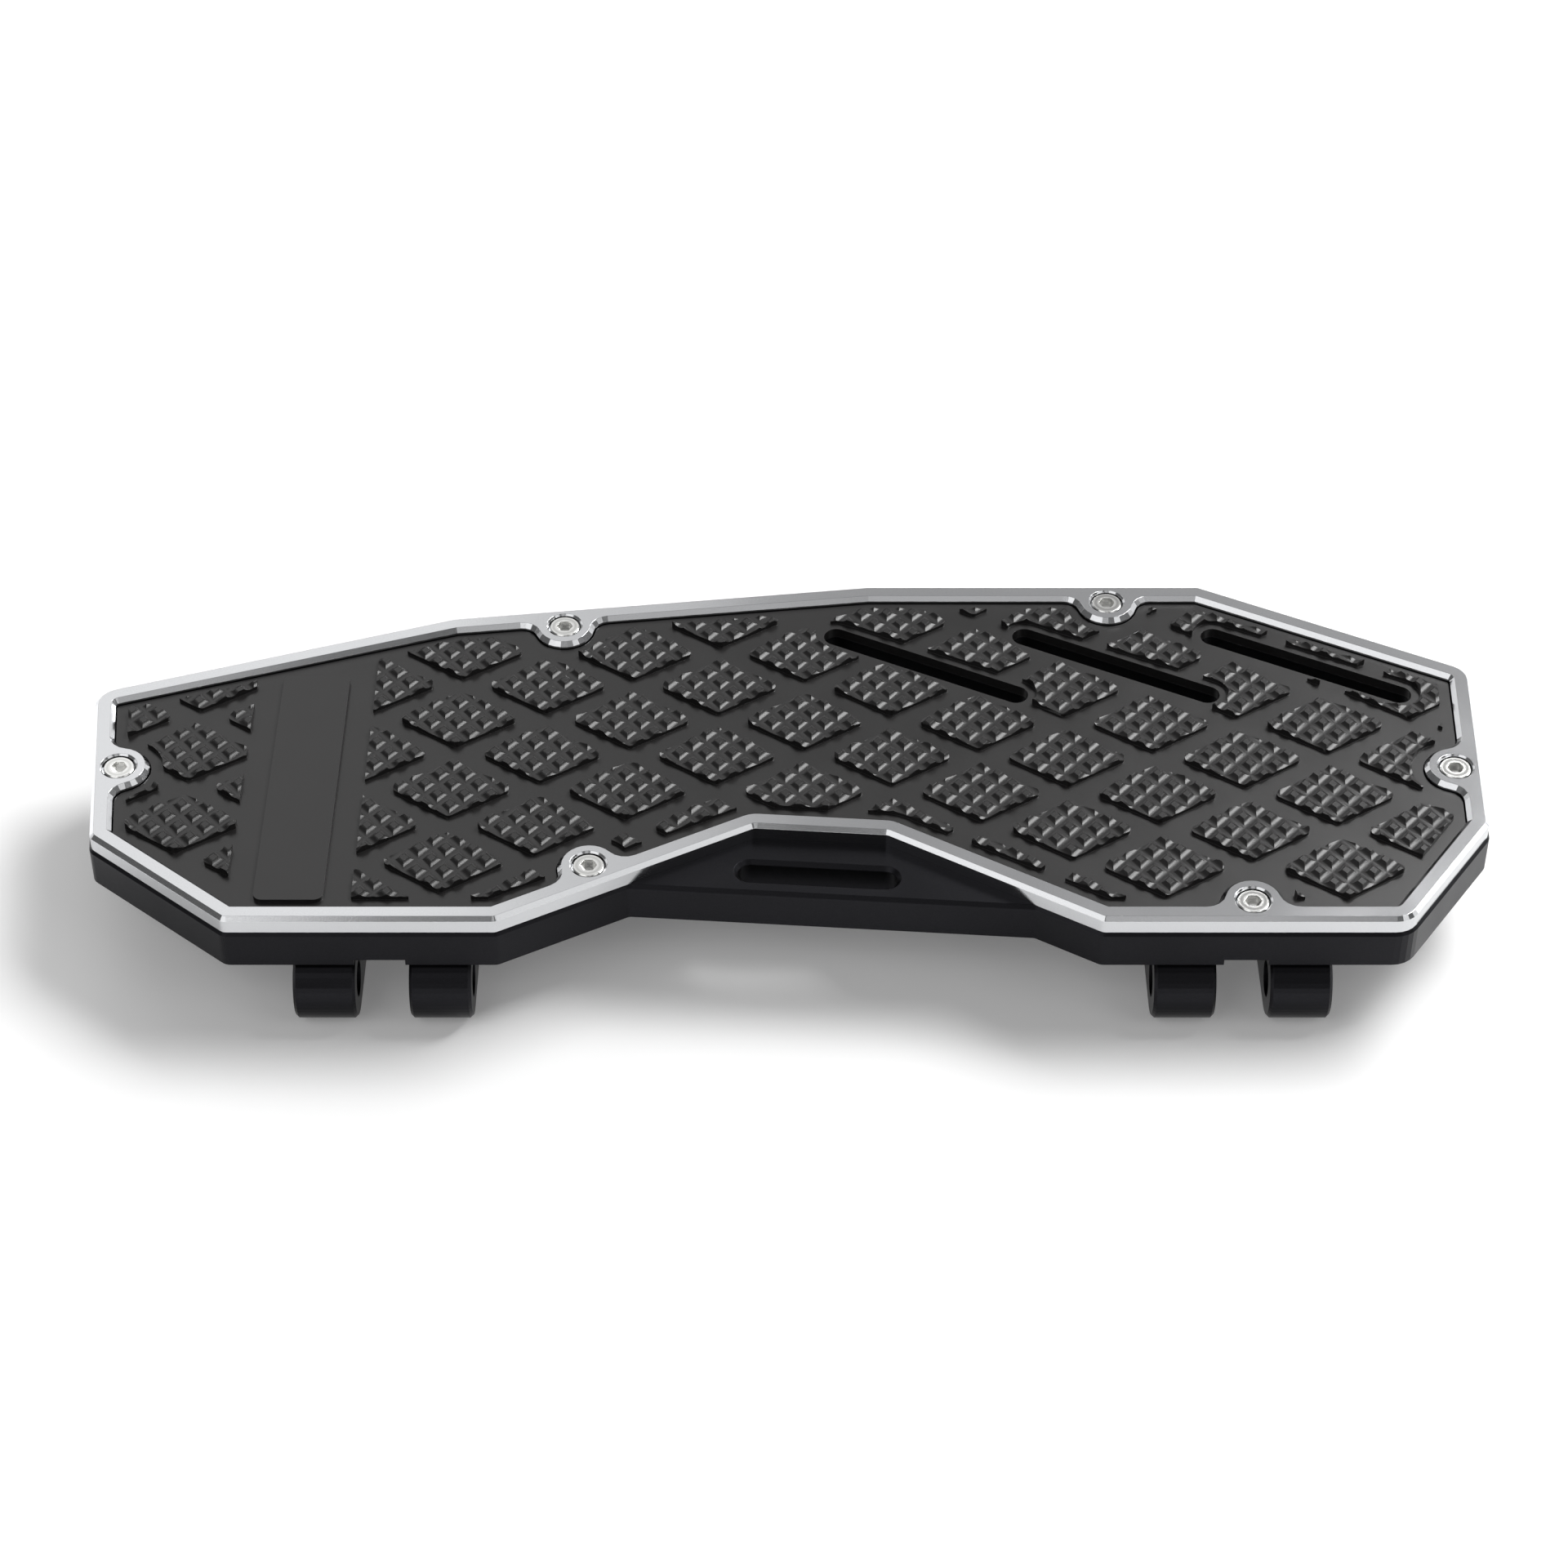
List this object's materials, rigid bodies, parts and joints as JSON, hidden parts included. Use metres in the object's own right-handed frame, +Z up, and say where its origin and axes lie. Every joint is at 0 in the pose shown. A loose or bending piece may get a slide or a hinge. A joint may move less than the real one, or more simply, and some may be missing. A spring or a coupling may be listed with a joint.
{
  "type": "motorcycle floorboard",
  "caption": "Long angular footboard: rubber tread with raised diamonds inside a screwed metal bezel, on a black base plate with slots and hinge ears below.",
  "frame": {"origin": "on the pin axis of the left hinge, midway between its two ears", "axes": "+X along the board to the right and along the hinge axis, +Y from the hinge side to the outer long side, +Z up out of the tread"},
  "size_m": [0.3861, 0.1441, 0.0374],
  "materials": {
    "black_anodised": "black anodised, satin",
    "clear_anodised": "clear anodised over a fine blasted surface",
    "rubber": "moulded, matt",
    "stainless": "stainless, turned",
    "black_oxide": "black oxide"
  },
  "bodies": {
    "root": {"base_plate": "black_anodised", "bezel": "clear_anodised", "tread_pad": "rubber", "left_outer_ear": "black_anodised", "left_inner_ear": "black_anodised", "right_inner_ear": "black_anodised", "right_outer_ear": "black_anodised", "bezel_screw_back_left": "stainless", "bezel_screw_back_right": "stainless", "bezel_screw_right": "stainless", "bezel_screw_front_right": "stainless", "bezel_screw_notch": "stainless", "bezel_screw_left": "stainless", "ear_screw_1": "black_oxide", "ear_screw_2": "black_oxide", "ear_screw_3": "black_oxide", "ear_screw_4": "black_oxide", "ear_screw_5": "black_oxide", "ear_screw_6": "black_oxide", "ear_screw_7": "black_oxide", "ear_screw_8": "black_oxide"}
  },
  "joints": []
}
